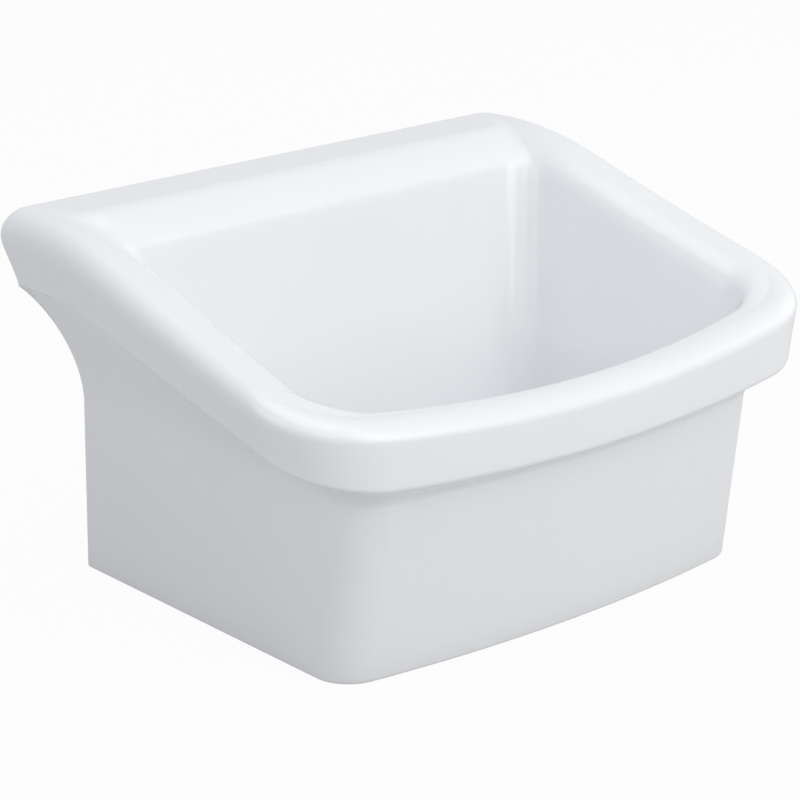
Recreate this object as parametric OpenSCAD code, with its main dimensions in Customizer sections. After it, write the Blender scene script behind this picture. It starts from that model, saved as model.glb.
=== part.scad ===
// Wall-hung mop service sink in one piece of glazed vitreous china, with its waste outlet,
// its lift-out strainer and the two brackets that it hangs on.
// +Z is up, the wall is at +Y and the user stands at -Y. The origin is the middle of the base.
// Inside the modules y is measured from the wall, where it is 0, towards the user, where it is negative.

/* [Overall] */
// Width of the lip's lower edge where its sides would meet the front
width = 518.6; // [505:0.1:530]
// Depth from the wall to the lowest edge of the front lip
depth = 397; // [385:1:420]
// Height of the level back ledge
height = 307; // [300:1:330]

/* [Rim] */
// How much narrower the lip's lower edge is at the wall
lip_taper = 28; // [20:1:34]
// How far the front of the lip bows out
lip_bow = 22; // [14:1:28]
// Radius of the lip's front corners, seen from above
lip_corner_r = 70; // [62:1:76]
// Radius of the front corners of the highest line of the rim, seen from above
crown_corner_r = 44; // [36:1:60]
// Height of the lip's lower edge at the middle of the front
lip_front_z = 153; // [150:1:160]
// Height of the lip's lower edge at the wall
lip_back_z = 244; // [235:1:252]
// Rise of the lip's lower edge for each millimetre towards the wall
lip_slope = 0.277; // [0.25:0.001:0.3]
// Extra height of the lip's lower edge at its front corners
lip_corner_rise = 6; // [0:1:12]
// Height of the top of the rim at the middle of the front
rim_front_z = 200.7; // [193.7:1:207.7]
// Rise of the top of the rim for each millimetre towards the wall
rim_slope = 0.331; // [0.31:0.001:0.35]
// Extra height of the top of the rim at its front corners
rim_corner_rise = 12.8; // [0.8:1:17.8]
// Radius of the lip's lower edge
lip_r = 4.5; // [3:0.5:6]
// Outward lean of the side rim's face for each millimetre of its height
side_face_lean = 0.34; // [0.24:0.001:0.38]
// Distance of the highest line of the side rim from the lip
side_crown_in = 1; // [0:0.5:6]
// Distance of the highest line of the front rim from the lip
front_crown_in = 26; // [20:1:29]
// Width of the side rim from the lip to the edge of the bowl
side_rim_w = 37; // [33:1:44]
// Width of the front rim from the lip to the edge of the bowl
front_rim_w = 32.5; // [31.5:1:40.5]
// Fall of the side rim from its highest line to the edge of the bowl
side_fall = 17; // [10:1:24]
// Fall of the front rim from its highest line to the edge of the bowl
front_fall = 4.5; // [2.5:0.5:10]

/* [Back ledge] */
// Depth of the level part of the ledge
ledge_depth = 56; // [44:1:62]
// Slope of the ledge's front down to the bowl
ledge_slope_deg = 28; // [20:1:34]
// Radius of the edge between the ledge and the back
back_edge_r = 6; // [3:0.5:10]

/* [Body] */
// Width of the foot where its sides would meet the front
foot_width = 422.7; // [410:0.1:430]
// How much narrower the foot is at the wall
foot_taper = 38.8; // [30:0.1:44]
// Depth of the foot from the wall to the middle of its front
foot_depth = 352; // [344:1:358]
// How far the front of the foot bows out
foot_bow = 18; // [12:1:24]
// Radius of the foot's front corners
foot_corner_r = 31; // [28:1:36]
// Radius of the edge under the foot
foot_edge_r = 3; // [1:0.5:4]
// Forward lean of the front wall for each millimetre of height
front_lean = 0.164; // [0.1:0.001:0.18]
// Inward lean of the side walls for each millimetre of height
side_lean = 0.025; // [0:0.001:0.03]
// Height at which the side walls start to flare out to the lip
cove_start_z = 140; // [125:1:145]
// Radius of the body's upright back corners
back_corner_r = 3; // [2:0.5:5]

/* [Bowl] */
// Distance from the wall to the bowl's opening
bowl_back_y = 87; // [81:1:93]
// Distance from the wall to the back of the bowl at the height where the flare starts
bowl_back_mid_y = 117; // [110:1:122]
// Radius of the edge between the ledge's slope and the bowl
bowl_edge_r = 6; // [3:0.5:8]
// Width of the bowl's floor where its sides would meet the front
floor_width = 380; // [366:1:384]
// How much narrower the bowl's floor is at the wall
floor_taper = 30; // [24:1:36]
// Distance from the wall to the back of the bowl's floor
floor_back_y = 127; // [122:1:140]
// Distance from the wall to the front of the bowl's floor
floor_front_y = 342; // [325:1:344]
// Radius of the bowl's front corners at the opening
bowl_corner_r = 39; // [32:1:48]
// Radius of the bowl's back corners
bowl_back_corner_r = 24; // [18:1:30]
// Radius between the bowl's walls and its floor
floor_r = 22; // [15:1:28]
// Height of the bowl's floor round the waste
floor_z = 54; // [52:1:60]
// Fall of the bowl's floor towards the waste
floor_fall = 5; // [2:1:8]

/* [China] */
// Thickness of the china walls
wall_t = 11; // [10:1:13]
// Thickness of the wall at the back
back_wall_t = 18; // [16:1:20]
// Height of the hollow under the bowl's floor
hollow_h = 40; // [36:1:40]

/* [Waste] */
// Distance from the wall to the middle of the waste
waste_y = 236; // [225:1:245]
// Radius of the hole through the bowl's floor
waste_hole_r = 32.5; // [32:0.1:33.5]
// Radius of the waste's flange
flange_r = 45; // [43:0.5:48]
// Thickness of the waste's flange
flange_t = 4; // [3.5:0.1:4.5]
// Radius of the waste's threaded body
waste_r = 29.5; // [29:0.1:30]
// Radius of the way through the waste
waste_bore_r = 25; // [24:0.1:26]
// Radius of the plain spigot at the lower end
spigot_r = 28; // [27:0.1:28.5]
// Length of the plain spigot
spigot_l = 15; // [10:1:15]
// Height of the spigot's end over the floor
spigot_z = 3; // [1:0.5:5]
// Thickness of the seal under the flange
seal_t = 1.5; // [1:0.1:2]
// Thickness of the rubber gasket under the china
gasket_t = 4.5; // [3:0.5:5]
// Thickness of the slip washer over the nut
slip_washer_t = 1.5; // [1:0.1:2]
// Thickness of the locking nut
nut_t = 9; // [8:0.5:10]
// Width of the locking nut across its flats
nut_af = 78; // [74:1:84]

/* [Strainer] */
// Radius of the strainer's rim
strainer_rim_r = 36; // [34:0.5:38]
// Thickness of the strainer's sheet
strainer_t = 1.2; // [1:0.1:1.5]
// Outer radius of the strainer's cup
cup_r = 23; // [21:0.5:23.5]
// Depth of the strainer's cup
cup_depth = 16; // [12:0.5:18]
// Radius of the holes in the cup's floor
floor_hole_r = 2; // [1:0.1:2.2]
// Number of holes in the outer ring of the cup's floor
outer_hole_n = 14; // [8:1:15]
// Number of holes in the inner ring of the cup's floor
inner_hole_n = 8; // [5:1:8]
// Radius of the knob
knob_r = 8; // [6:0.5:10]
// Height of the knob's grip
knob_h = 9; // [7:0.5:10]
// Radius of the knob's stem
stem_r = 3.2; // [2.5:0.1:4]
// Height of the knob's stem over the cup's floor
stem_h = 12; // [9:0.5:14]
// Radius of the rivet that holds the knob
rivet_r = 1.6; // [1.2:0.1:2]
// Radius of the rivet's head
rivet_head_r = 3.4; // [2.8:0.1:4]
// Thickness of the rivet's head
rivet_head_t = 1; // [0.8:0.1:1.5]

/* [Hangers] */
// Distance between the middles of the two brackets
hanger_spacing = 260; // [220:1:280]
// Width of a bracket
hanger_w = 48; // [40:1:52]
// Height of a bracket's wall plate
hanger_h = 62; // [58:1:66]
// Thickness of a bracket's steel
hanger_t = 3.5; // [3:0.1:4]
// Height of the underside of the brackets
hanger_z = 188; // [180:1:190]
// Height of a bracket's upturned hook
hook_h = 24; // [20:0.5:25]
// Distance from the wall to the back of the upturned hook
hook_y = 21; // [20:0.5:24]
// Distance between the two screw holes of a bracket
screw_pitch = 22; // [18:1:22]
// Radius of the screw holes
screw_hole_r = 4.5; // [3.5:0.1:5]
// Thickness of the cushion between the china and the hook
cushion_t = 2; // [1.5:0.1:3]
// Depth of the recess in the china for a bracket's plate and its screw heads
recess_depth = 8; // [7:0.5:9]
// Clearance round a bracket in its recess
hanger_gap = 4; // [3:0.5:6]

/* [Lower fixings] */
// Distance between the two lower fixing holes
fixing_spacing = 260; // [220:1:280]
// Height of the lower fixing holes
fixing_z = 105; // [90:1:125]
// Outer radius of the sleeves in the china
sleeve_r = 8; // [7:0.5:9]
// Radius of the sleeves' flanges
sleeve_flange_r = 13; // [12:0.5:15]
// Thickness of the sleeves' flanges
sleeve_flange_t = 2.5; // [2:0.5:4]
// Radius of the screw hole through a sleeve
sleeve_hole_r = 4.5; // [3.5:0.1:5]

/* [Hidden] */

$fn = 96;
fit_gap = 0.05;          // radial gap of a turned piece in its hole
side_gap = 1;            // gap round a piece that only lies in its seat
past = 1;                // how far a cut runs past the face it opens
china_colour = [0.95, 0.96, 0.97];
chrome_colour = [0.78, 0.80, 0.83];
steel_colour = [0.66, 0.68, 0.70];
rubber_colour = [0.13, 0.13, 0.14];
nylon_colour = [0.90, 0.89, 0.84];

// Points along each stretch of half an outline, from the middle of the back to the middle of the front
back_n = 4;
back_corner_n = 4;
side_n = 12;
front_corner_n = 8;
front_n = 7;
half_n = back_n + back_corner_n + side_n + front_corner_n + front_n;
around_n = 2 * half_n;

// Rings of each band of the skin
cove_n = 6;
lip_n = 3;
shoulder_n = 5;
fall_n = 7;
edge_n = 3;
fillet_n = 4;

rise_from = 60;          // distance from the wall at which the corner rise begins
lip_blend = 8;           // height over which the lip levels out at the wall
rim_blend = 18;          // height over which the rim levels out into the ledge
ledge_blend = 4;         // height over which the ledge turns down towards the bowl
side_face_part = 0.58;   // share of the side rim's height that is flat face
front_face_part = 0.70;  // share of the front rim's height that is flat face
side_round = 0.607;      // fullness of the side rim's shoulder
front_round = 0.562;     // fullness of the front rim's shoulder
back_round = 0.552;      // fullness of the edge at the wall: a quarter circle
seat_r = 58;             // radius of the flat floor round the waste

// ---- helpers ----
function clamp01(v) = min(max(v, 0), 1);
// the lower of two heights, blended over a length k
function soft_min(a, b, k) = min(a, b) - pow(max(k - abs(a - b), 0), 2) / (4 * k);
// one coordinate of a cubic curve through its four control values
function curve(p, t) = pow(1 - t, 3) * p[0] + 3 * pow(1 - t, 2) * t * p[1]
                     + 3 * (1 - t) * t * t * p[2] + pow(t, 3) * p[3];
function reversed(list) = [for (i = [len(list) - 1:-1:0]) list[i]];

// Half of a symmetric outline seen from above: straight back, round back corner, straight side,
// round front corner and bowed front. hb and hf are half the widths at the back and at the front,
// back and front are distances from the wall, and bow is how far the front bows out.
function half_outline(hb, hf, back, front, rb, rf, bow) =
    let (big_r = (hf * hf + bow * bow) / (2 * bow),
         arc_y = big_r - front,
         side = [hb - hf, bow - front + back],
         along = side / norm(side),
         inward = [-along[1], along[0]],
         start = [-hb, -back],
         // back corner: its centre is rb from the back and from the side
         base_b = start + inward * rb,
         centre_b = base_b + along * ((-back - rb - base_b[1]) / along[1]),
         // front corner: its centre is rf from the side and from the bowed front
         base_f = start + inward * rf,
         rel = base_f - [0, arc_y],
         proj = rel * along,
         reach = sqrt(proj * proj - rel * rel + pow(big_r - rf, 2)) - proj,
         centre_f = base_f + along * reach,
         side_deg = atan2(-inward[1], -inward[0]) + 360,
         turn_b = side_deg % 360 - 90,
         side_from = centre_b - inward * rb,
         side_to = centre_f - inward * rf,
         off = centre_f - [0, arc_y],
         meet_deg = atan2(off[1], off[0]) + 360,
         turn_f = meet_deg - side_deg % 360)
    concat(
        [for (i = [0:back_n - 1]) [centre_b[0] * i / back_n, -back]],
        [for (i = [0:back_corner_n - 1])
            centre_b + rb * [cos(90 + turn_b * i / back_corner_n), sin(90 + turn_b * i / back_corner_n)]],
        [for (i = [0:side_n - 1]) side_from + (side_to - side_from) * i / side_n],
        [for (i = [0:front_corner_n - 1])
            centre_f + rf * [cos(side_deg % 360 + turn_f * i / front_corner_n),
                             sin(side_deg % 360 + turn_f * i / front_corner_n)]],
        [for (i = [0:front_n])
            [0, arc_y] + big_r * [cos(meet_deg + (270 - meet_deg) * i / front_n),
                                  sin(meet_deg + (270 - meet_deg) * i / front_n)]]);

// The whole outline, anticlockwise seen from above, from the middle of the back
function outline(hb, hf, back, front, rb, rf, bow) =
    let (half = half_outline(hb, hf, back, front, rb, rf, bow))
    concat(half, [for (i = [half_n - 1:-1:1]) [-half[i][0], half[i][1]]]);

// Which way the outline faces at each of its points: 90 is the wall, 0 a side and -90 the front
function facing_half(i) =
    i < back_n ? 90
    : i < back_n + back_corner_n ? 90 - 90 * (i - back_n) / back_corner_n
    : i < back_n + back_corner_n + side_n ? 0
    : i < half_n - front_n ? -90 * (i - back_n - back_corner_n - side_n) / front_corner_n
    : -90;
function facing(i) = facing_half(i <= half_n ? i : around_n - i);
function back_share(i) = facing(i) > 0 ? pow(sin(facing(i)), 2) : 0;
function front_share(i) = facing(i) < 0 ? pow(sin(facing(i)), 2) : 0;
function side_share(i) = pow(cos(facing(i)), 2);
function blend(i, side, front, back) = side_share(i) * side + front_share(i) * front + back_share(i) * back;

// which way each point of a closed outline faces, as a vector of length 1
function normals(points) =
    let (n = len(points))
    [for (i = [0:n - 1])
        let (t = points[(i + 1) % n] - points[(i + n - 1) % n])
        [t[1], -t[0]] / norm(t)];

// ---- heights of the lip and of the rim at a place of the lip's outline ----
half_lip_front = width / 2;
half_lip_back = (width - lip_taper) / 2;
function corner_share(p) =
    pow(p[0] / half_lip_back, 2) * pow(clamp01((-p[1] - rise_from) / (depth - rise_from)), 2);
function lip_z(p) = soft_min(lip_front_z + lip_slope * (p[1] + depth)
                             + lip_corner_rise * corner_share(p), lip_back_z, lip_blend);
function rim_z(p) = soft_min(rim_front_z + rim_slope * (p[1] + depth)
                             + rim_corner_rise * corner_share(p), height, rim_blend);
// fall of the ledge at a distance d from the wall
function ledge_fall(d) = -soft_min((ledge_depth - d) * tan(ledge_slope_deg), 0, ledge_blend);

// ---- outlines of the china ----
half_foot_front = foot_width / 2;
half_foot_back = (foot_width - foot_taper) / 2;
function body_outline(z, inset, back) =
    outline(half_foot_back - side_lean * z - inset, half_foot_front - side_lean * z - inset,
            back, foot_depth + front_lean * z - inset, back_corner_r, foot_corner_r - inset / 2, foot_bow);
function at_z(points, z) = [for (p = points) [p[0], p[1], z]];
lip = outline(half_lip_back, half_lip_front, 0, depth, back_corner_r, lip_corner_r, lip_bow);
// which way the lip faces; at its back corners only sideways, so that the back stays flat
lip_normals = normals(lip);
lip_facing = [for (i = [0:around_n - 1]) facing(i) > 0 ? [lip_normals[i][0], 0] : lip_normals[i]];
lip_low = [for (p = lip) lip_z(p)];
lip_high = [for (p = lip) rim_z(p)];
// height of the rim over a point p inside the lip's point i: it changes along the sides only
function rim_over(i, p) = rim_z([lip[i][0], p[1] + (lip[i][1] - p[1]) * front_share(i)]);
// how far the lip's underside is drawn in from the lip
function lip_in(i, in) = lip[i] - lip_facing[i] * in * (1 - back_share(i));
// the highest line of the rim, and the edge of the bowl
crown = outline(half_lip_back - side_crown_in, half_lip_front - side_crown_in, back_edge_r,
                depth - front_crown_in, back_corner_r + back_edge_r,
                crown_corner_r, lip_bow);
mouth_taper = lip_taper / 2 / depth;
mouth_flat = outline(half_lip_back - side_rim_w + mouth_taper * bowl_back_y, half_lip_front - side_rim_w,
                     bowl_back_y, depth - front_rim_w, bowl_back_corner_r, bowl_corner_r, lip_bow);

// ---- the skin of the china, ring by ring, from the foot over the rim into the bowl ----
foot_rings = [at_z(body_outline(0, foot_edge_r, 0), 0),
              at_z(body_outline(foot_edge_r, 0, 0), foot_edge_r),
              at_z(body_outline(cove_start_z / 2, 0, 0), cove_start_z / 2)];

cove_out = [0, 0, 0.55, 1];
cove_up = [0, 0.35, 0.80, 1];
cove_from = body_outline(cove_start_z, 0, 0);
cove_rings = [for (j = [0:cove_n])
    let (t = j / cove_n, out = curve(cove_out, t), up = curve(cove_up, t))
    [for (i = [0:around_n - 1])
        let (p = cove_from[i] + (lip_in(i, lip_r) - cove_from[i]) * out)
        [p[0], p[1], cove_start_z + (lip_low[i] - cove_start_z) * up]]];

lip_rings = [for (j = [1:lip_n])
    let (a = 90 * j / lip_n)
    [for (i = [0:around_n - 1])
        let (p = lip_in(i, lip_r * (1 - sin(a))))
        [p[0], p[1], lip_low[i] + lip_r * (1 - cos(a))]]];

// from the top of the flat face over the rounded shoulder to the highest line
shoulder_rings = [for (j = [0:shoulder_n])
    let (t = j / shoulder_n)
    [for (i = [0:around_n - 1])
        let (h = lip_high[i] - lip_low[i],
             lean = blend(i, side_face_lean, 0, 0),
             round = blend(i, side_round, front_round, back_round),
             face = blend(i, side_face_part * h, front_face_part * h, h - back_edge_r),
             swell = lean * face,
             out = curve([swell, swell + round * (h - face) * lean, round * swell, 0], t),
             p = lip[i] + lip_facing[i] * out + (crown[i] - lip[i]) * curve([0, 0, 1 - round, 1], t))
        [p[0], p[1], lip_low[i] + curve([face, face + round * (h - face), h, h], t)]]];

// the rim's top over the outline's point i, from its highest line at 0 to the bowl's sharp edge at 1
top_across = [0, 0.45, 0.85, 1];
top_down = [0, 0, 0.30, 1];
function top_point(i, t) =
    let (across = curve(top_across, t),
         down = curve(top_down, t),
         p = crown[i] + (mouth_flat[i] - crown[i]) * blend(i, across, across, t),
         high = lip_high[i] + rim_over(i, p) - rim_over(i, crown[i]))
    [p[0], p[1], blend(i, high - side_fall * down, high - front_fall * down, height - ledge_fall(-p[1]))];
edge_from = 0.85;        // where the rounding of the bowl's edge begins
fall_rings = [for (j = [1:fall_n]) [for (i = [0:around_n - 1]) top_point(i, edge_from * j / fall_n)]];

// the bowl's walls: from its edge to a level ring inside the body, then to the floor's rounding
bowl_mid_z = cove_start_z;
bowl_mid = outline(half_foot_back - side_lean * bowl_mid_z - wall_t
                       + foot_taper / 2 * bowl_back_mid_y / foot_depth,
                   half_foot_front - side_lean * bowl_mid_z - wall_t,
                   bowl_back_mid_y,
                   foot_depth + front_lean * bowl_mid_z - 2 * wall_t,
                   bowl_back_corner_r, foot_corner_r + wall_t, foot_bow);
function floor_outline(inset) =
    outline((floor_width - floor_taper) / 2 + floor_taper / 2 * floor_back_y / foot_depth - inset,
            floor_width / 2 - inset,
            floor_back_y + inset,
            floor_front_y - inset, bowl_back_corner_r, foot_corner_r + wall_t - inset / 2, foot_bow);
floor_edge_z = floor_z + floor_fall;
// the rounded edge of the bowl: from the rim's top round the sharp edge onto the wall below
sharp_edge = [for (i = [0:around_n - 1]) top_point(i, 1)];
under_edge = [for (i = [0:around_n - 1])
    let (down = [bowl_mid[i][0], bowl_mid[i][1], bowl_mid_z] - sharp_edge[i])
    sharp_edge[i] + down / norm(down) * bowl_edge_r];
edge_rings = [for (j = [1:edge_n])
    let (t = j / edge_n)
    [for (i = [0:around_n - 1])
        top_point(i, edge_from) * pow(1 - t, 2) + sharp_edge[i] * 2 * t * (1 - t) + under_edge[i] * t * t]];
wall_steps = [0.3, 0.65];
wall_rings = concat(
    [for (t = wall_steps)
        [for (i = [0:around_n - 1])
            let (m = [bowl_mid[i][0], bowl_mid[i][1], bowl_mid_z])
            under_edge[i] + (m - under_edge[i]) * t]],
    [at_z(bowl_mid, bowl_mid_z)]);
fillet_rings = [for (j = [0:fillet_n])
    let (a = 90 * j / fillet_n)
    at_z(floor_outline(floor_r * (1 - cos(a))), floor_edge_z + floor_r * (1 - sin(a)))];
// the floor runs to a level circle round the waste
function around_waste(p, r) =
    let (d = [p[0], p[1] + waste_y])
    [0, -waste_y] + d / norm(d) * r;
floor_end = floor_outline(floor_r);
seat_ring = [for (p = floor_end) let (q = around_waste(p, seat_r)) [q[0], q[1], floor_z]];

skin_rings = concat(foot_rings, cove_rings, lip_rings, shoulder_rings, fall_rings, edge_rings,
                    wall_rings, fillet_rings, [seat_ring]);

// A closed solid through rings of equal length, with flat ends round a middle point each
module ring_solid(rings, first_middle, last_middle) {
    n = len(rings[0]);
    m = len(rings);
    polyhedron(
        points = concat([for (ring = rings) each ring], [first_middle, last_middle]),
        faces = concat(
            [for (i = [0:n - 1]) [i, (i + 1) % n, m * n]],
            [for (j = [0:m - 2], i = [0:n - 1])
                let (a = j * n + i, b = j * n + (i + 1) % n)
                each [[a, a + n, b], [b, a + n, b + n]]],
            [for (i = [0:n - 1]) [(m - 1) * n + (i + 1) % n, (m - 1) * n + i, m * n + 1]]));
}

// ---- china: foot, body, bowl, rim and ledge in one piece ----
hollow_top = hollow_h;
ledge_under_z = height - wall_t;
chamber_low_x = half_foot_back - side_lean * height - wall_t;
chamber_high_x = half_lip_back - wall_t;
flare_x = half_lip_back - lip_r - half_foot_back + side_lean * cove_start_z;
// outline of the hollow behind the bowl, seen from the front
chamber_side = concat(
    [[chamber_low_x, -past]],
    [for (t = [0:0.25:1])
        [chamber_low_x + flare_x * curve(cove_out, t),
         cove_start_z + wall_t + (lip_back_z - cove_start_z) * curve(cove_up, t)]],
    [[chamber_high_x, lip_back_z + 2 * wall_t],
     [chamber_high_x, ledge_under_z]]);
chamber_front = concat(chamber_side, [for (p = reversed(chamber_side)) [-p[0], p[1]]]);
// outline of the hollow behind the bowl, seen from the side, as distance from the wall and height
chamber_section = [
    [back_wall_t, -past],
    [back_wall_t, ledge_under_z],
    [ledge_depth - wall_t / 2, ledge_under_z],
    [bowl_back_y - wall_t, ledge_under_z - (bowl_back_y - ledge_depth) * tan(ledge_slope_deg)],
    [bowl_back_y - wall_t, ledge_under_z - (bowl_back_y - ledge_depth)],
    [bowl_back_mid_y - wall_t, bowl_mid_z],
    [floor_back_y - wall_t, floor_edge_z + floor_r],
    [floor_back_y - wall_t, -past]];

module back_chamber() {
    intersection() {
        rotate([90, 0, 0])
            linear_extrude(height = floor_back_y)
                polygon(chamber_front);
        translate([-half_lip_back, 0, 0])
            rotate([90, 0, 90])
                linear_extrude(height = 2 * half_lip_back)
                    polygon([for (p = chamber_section) [-p[0], p[1]]]);
    }
}

module under_hollow() {
    translate([0, 0, -past])
        linear_extrude(height = hollow_top + past)
            polygon(outline(half_foot_back - wall_t - past, half_foot_front - wall_t - past,
                            back_wall_t, foot_depth - wall_t, back_corner_r, foot_corner_r - wall_t / 2,
                            foot_bow));
}

hanger_x = hanger_spacing / 2;
seat_z = hanger_z + hanger_t + cushion_t;   // where the china rests on the cushions
module hanger_recess(x) {
    w = hanger_w + 2 * hanger_gap;
    // room for the wall plate and its screw heads
    translate([x - w / 2, -recess_depth, hanger_z - hanger_gap])
        cube([w, recess_depth + past, hanger_h + 2 * hanger_gap]);
    // way through the back for the arm
    translate([x - w / 2, -back_wall_t - past, hanger_z - hanger_gap])
        cube([w, back_wall_t + past, seat_z - hanger_z + hanger_gap]);
}

module fixing_hole(x) {
    translate([x, past, fixing_z])
        rotate([90, 0, 0])
            cylinder(r = sleeve_r + fit_gap, h = back_wall_t + 2 * past);
}

recess_floor_z = floor_z - flange_t - seal_t;
module waste_hole() {
    translate([0, -waste_y, hollow_top - past])
        cylinder(r = waste_hole_r, h = floor_z - hollow_top + 2 * past);
    translate([0, -waste_y, recess_floor_z])
        cylinder(r = flange_r + side_gap, h = flange_t + seal_t + past);
}

module basin() {
    color(china_colour)
        difference() {
            ring_solid(skin_rings, [0, -foot_depth / 2, 0], [0, -waste_y, floor_z]);
            under_hollow();
            back_chamber();
            waste_hole();
            hanger_recess(-hanger_x);
            hanger_recess(hanger_x);
            fixing_hole(-fixing_spacing / 2);
            fixing_hole(fixing_spacing / 2);
        }
}

// ---- waste outlet ----
flange_z = floor_z - flange_t;
dish_depth = strainer_t + fit_gap;
gasket_z = hollow_top - gasket_t;
washer_z = gasket_z - slip_washer_t;
nut_z = washer_z - nut_t;
spigot_top_z = spigot_z + spigot_l;

module at_waste(z) {
    translate([0, -waste_y, z])
        children();
}

// a flat ring lying at height 0
module flat_ring(outer_r, inner_r, t) {
    difference() {
        cylinder(r = outer_r, h = t);
        translate([0, 0, -past])
            cylinder(r = inner_r, h = t + 2 * past);
    }
}

// flange in the bowl, threaded body and plain spigot, with the way through
module waste_body() {
    color(chrome_colour)
        at_waste(0)
            rotate_extrude()
                polygon([
                    [waste_bore_r, spigot_z],
                    [spigot_r, spigot_z],
                    [spigot_r, spigot_top_z],
                    [waste_r, spigot_top_z + waste_r - spigot_r],
                    [waste_r, flange_z],
                    [flange_r, flange_z],
                    [flange_r, floor_z - dish_depth],
                    [flange_r - dish_depth, floor_z],
                    [strainer_rim_r + side_gap, floor_z],
                    [strainer_rim_r + side_gap, floor_z - dish_depth],
                    [waste_bore_r, floor_z - dish_depth]]);
}

module flange_seal() {
    color(rubber_colour)
        at_waste(recess_floor_z)
            flat_ring(flange_r, waste_r + fit_gap, seal_t);
}

module under_gasket() {
    color(rubber_colour)
        at_waste(gasket_z)
            flat_ring(flange_r, waste_r + fit_gap, gasket_t);
}

module slip_washer() {
    color(nylon_colour)
        at_waste(washer_z)
            flat_ring(flange_r, waste_r + fit_gap, slip_washer_t);
}

nut_sides = 6;
module locking_nut() {
    color(chrome_colour)
        at_waste(nut_z)
            difference() {
                intersection() {
                    cylinder(r = nut_af / 2 / cos(180 / nut_sides), h = nut_t, $fn = nut_sides);
                    // the corners are turned down
                    cylinder(r = nut_af / 2 / cos(180 / nut_sides) - side_gap, h = nut_t);
                }
                translate([0, 0, -past])
                    cylinder(r = waste_r + fit_gap, h = nut_t + 2 * past);
            }
}

// ---- lift-out strainer ----
cup_bottom_z = floor_z - cup_depth;
cup_floor_z = cup_bottom_z + strainer_t;
outer_hole_at = cup_r - strainer_t - 2 * floor_hole_r;
inner_hole_at = outer_hole_at - 3.5 * floor_hole_r;

module strainer_basket() {
    color(chrome_colour)
        at_waste(0)
            difference() {
                rotate_extrude()
                    polygon([
                        [0, cup_bottom_z],
                        [cup_r - strainer_t, cup_bottom_z],
                        [cup_r, cup_bottom_z + strainer_t],
                        [cup_r, floor_z - strainer_t],
                        [strainer_rim_r, floor_z - strainer_t],
                        [strainer_rim_r, floor_z],
                        [cup_r, floor_z],
                        [cup_r - strainer_t, floor_z - strainer_t],
                        [cup_r - strainer_t, cup_floor_z],
                        [0, cup_floor_z]]);
                for (i = [0:outer_hole_n - 1])
                    rotate([0, 0, 360 * i / outer_hole_n])
                        translate([outer_hole_at, 0, cup_bottom_z - past])
                            cylinder(r = floor_hole_r, h = strainer_t + 2 * past);
                for (i = [0:inner_hole_n - 1])
                    rotate([0, 0, 360 * i / inner_hole_n])
                        translate([inner_hole_at, 0, cup_bottom_z - past])
                            cylinder(r = floor_hole_r, h = strainer_t + 2 * past);
                translate([0, 0, cup_bottom_z - past])
                    cylinder(r = rivet_r + fit_gap, h = strainer_t + 2 * past);
            }
}

knob_edge = 2;           // rounding of the knob's edges
rivet_grip = 8;          // how far the rivet reaches into the knob
module strainer_knob() {
    color(chrome_colour)
        at_waste(cup_floor_z)
            difference() {
                union() {
                    cylinder(r = stem_r, h = stem_h + past);
                    translate([0, 0, stem_h])
                        cylinder(r = knob_r, h = knob_h - knob_edge);
                    translate([0, 0, stem_h + knob_h - knob_edge])
                        cylinder(r1 = knob_r, r2 = knob_r - knob_edge, h = knob_edge);
                }
                translate([0, 0, -past])
                    cylinder(r = rivet_r + fit_gap, h = rivet_grip + past);
            }
}

module knob_rivet() {
    color(steel_colour)
        at_waste(cup_bottom_z) {
            translate([0, 0, -rivet_head_t])
                cylinder(r = rivet_head_r, h = rivet_head_t);
            cylinder(r = rivet_r, h = strainer_t + rivet_grip - fit_gap);
        }
}

// ---- wall brackets with their cushions ----
bend_r = 3;              // inner radius of a bracket's bends
plate_corner_r = 6;      // radius of the corners of a bracket's plate
hook_len = hook_y + hanger_t;
bend_out = bend_r + hanger_t;
screw_mid_z = (hook_h + hanger_h) / 2;   // height of the screw holes' middle over the underside

// a quarter of a bend, opening upwards and away from the side s
module quarter_bend(s) {
    intersection() {
        difference() {
            circle(r = bend_out);
            circle(r = bend_r);
        }
        translate([s > 0 ? 0 : -bend_out, -bend_out])
            square([bend_out, bend_out]);
    }
}

// side view of a bracket: plate on the wall, arm and upturned hook
module bracket_profile() {
    translate([-hanger_t, bend_out])
        square([hanger_t, hanger_h - bend_out]);
    translate([-bend_out, bend_out])
        quarter_bend(1);
    translate([bend_out - hook_len, 0])
        square([hook_len - 2 * bend_out, hanger_t]);
    translate([bend_out - hook_len, bend_out])
        quarter_bend(-1);
    translate([-hook_len, bend_out])
        square([hanger_t, hook_h - bend_out]);
}

// front view of a bracket, with round upper corners
module bracket_front() {
    translate([-hanger_w / 2, 0])
        square([hanger_w, hanger_h - plate_corner_r]);
    translate([plate_corner_r - hanger_w / 2, 0])
        square([hanger_w - 2 * plate_corner_r, hanger_h]);
    for (s = [-1, 1])
        translate([s * (hanger_w / 2 - plate_corner_r), hanger_h - plate_corner_r])
            circle(r = plate_corner_r);
}

module bracket(x) {
    color(steel_colour)
        translate([x, 0, hanger_z])
            difference() {
                intersection() {
                    translate([-hanger_w / 2, 0, 0])
                        rotate([90, 0, 90])
                            linear_extrude(height = hanger_w)
                                bracket_profile();
                    translate([0, past, 0])
                        rotate([90, 0, 0])
                            linear_extrude(height = hook_len + 2 * past)
                                bracket_front();
                }
                for (s = [-1, 1])
                    translate([0, past, screw_mid_z + s * screw_pitch / 2])
                        rotate([90, 0, 0])
                            cylinder(r = screw_hole_r, h = hanger_t + 2 * past);
            }
}

module cushion(x) {
    color(rubber_colour)
        translate([x - hanger_w / 2, bend_out - hook_len, hanger_z + hanger_t])
            cube([hanger_w, hook_len - 2 * bend_out, cushion_t]);
}

module hanger_left() {
    bracket(-hanger_x);
}

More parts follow.
